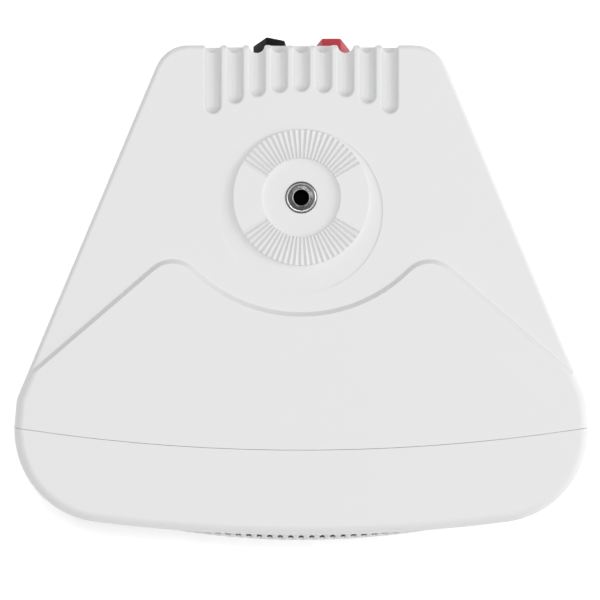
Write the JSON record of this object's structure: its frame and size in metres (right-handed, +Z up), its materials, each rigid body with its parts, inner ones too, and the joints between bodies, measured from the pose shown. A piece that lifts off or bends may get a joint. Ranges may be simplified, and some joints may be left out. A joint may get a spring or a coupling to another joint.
{
  "type": "loudspeaker",
  "caption": "Compact white two-way wall loudspeaker with a perforated grille, ribbed back, tilted binding posts and a threaded mounting point at each end.",
  "frame": {"origin": "on the mounting axis, where the thread of the bottom insert starts", "axes": "+Z up along the mounting axis, +X to the side, -Y out through the grille"},
  "size_m": [0.186, 0.1655, 0.25],
  "materials": {
    "white_shell": "satin, fine texture",
    "white_grille": "satin powder coat",
    "gasket_foam": "matt",
    "nickel": "bright nickel plate",
    "zinc_steel": "zinc plated",
    "black_steel": "black satin paint",
    "cone_paper": "matt, moulded",
    "black_rubber": "satin",
    "spider_cloth": "woven, resin treated",
    "copper_wire": "enamelled",
    "ferrite": "sintered",
    "black_plastic": "satin",
    "silk_dome": "coated",
    "red_plastic": "gloss",
    "post_black": "gloss",
    "fibre_board": "phenolic board",
    "capacitor_film": "smooth",
    "ceramic": "rough",
    "wadding": "fibrous",
    "wire_jacket": "satin"
  },
  "bodies": {
    "cabinet": {"rear_cabinet": "white_shell", "front_bezel": "white_shell", "cabinet_gasket": "gasket_foam", "grille": "white_grille", "top_insert": "nickel", "bottom_insert": "nickel", "baffle_screws": "zinc_steel", "woofer_basket": "black_steel", "woofer_surround": "black_rubber", "woofer_gasket": "gasket_foam", "woofer_spider": "spider_cloth", "woofer_front_plate": "zinc_steel", "woofer_magnet": "ferrite", "woofer_yoke": "zinc_steel", "woofer_screws": "zinc_steel", "woofer_terminals": "black_plastic", "tweeter_faceplate": "black_plastic", "tweeter_surround": "silk_dome", "tweeter_front_plate": "zinc_steel", "tweeter_magnet": "ferrite", "tweeter_yoke": "zinc_steel", "tweeter_screws": "zinc_steel", "tweeter_terminals": "black_plastic", "terminal_cup": "white_shell", "terminal_nuts": "zinc_steel", "terminal_cup_screws": "zinc_steel", "red_bush": "red_plastic", "black_bush": "post_black", "red_post": "nickel", "black_post": "nickel", "crossover_board": "fibre_board", "crossover_screws": "zinc_steel", "crossover_coils": "copper_wire", "crossover_capacitors": "capacitor_film", "crossover_resistor": "ceramic", "damping_wadding": "wadding", "woofer_leads": "wire_jacket", "tweeter_leads": "wire_jacket", "terminal_leads": "wire_jacket"},
    "woofer_diaphragm": {"woofer_cone": "cone_paper", "woofer_dust_cap": "cone_paper", "woofer_voice_coil": "copper_wire"},
    "tweeter_diaphragm": {"tweeter_dome": "silk_dome", "tweeter_voice_coil": "copper_wire"},
    "red_washer": {"red_clamp_washer": "nickel"},
    "red_knob": {"red_knob": "red_plastic"},
    "black_washer": {"black_clamp_washer": "nickel"},
    "black_knob": {"black_knob": "post_black"}
  },
  "joints": [
    {"name": "woofer_travel", "type": "slide", "parent": "cabinet", "child": "woofer_diaphragm", "axis": [0, -1, 0], "range_m": [-0.003, 0.003], "stiffness_N_per_m": 900, "deforming": ["woofer_surround", "woofer_spider"]},
    {"name": "tweeter_travel", "type": "slide", "parent": "cabinet", "child": "tweeter_diaphragm", "axis": [0, -1, 0], "range_m": [-0.0004, 0.0004], "stiffness_N_per_m": 1000, "deforming": ["tweeter_surround"]},
    {"name": "red_washer_travel", "type": "slide", "parent": "cabinet", "child": "red_washer", "axis": [0, 0.7314, -0.682], "range_m": [0, 0.0034]},
    {"name": "red_knob_turn", "type": "hinge", "parent": "red_washer", "child": "red_knob", "pos_m": [0.01, 0.03733, 0.19326], "axis": [0, 0.7314, -0.682], "range_deg": [0, 1750]},
    {"name": "black_washer_travel", "type": "slide", "parent": "cabinet", "child": "black_washer", "axis": [0, 0.7314, -0.682], "range_m": [0, 0.0034]},
    {"name": "black_knob_turn", "type": "hinge", "parent": "black_washer", "child": "black_knob", "pos_m": [-0.01, 0.03733, 0.19326], "axis": [0, 0.7314, -0.682], "range_deg": [0, 1750]}
  ],
  "couplings": [
    {"joint": "red_knob_turn", "follows": "red_washer_travel", "rad_per_m": 8976},
    {"joint": "black_knob_turn", "follows": "black_washer_travel", "rad_per_m": 8976}
  ]
}
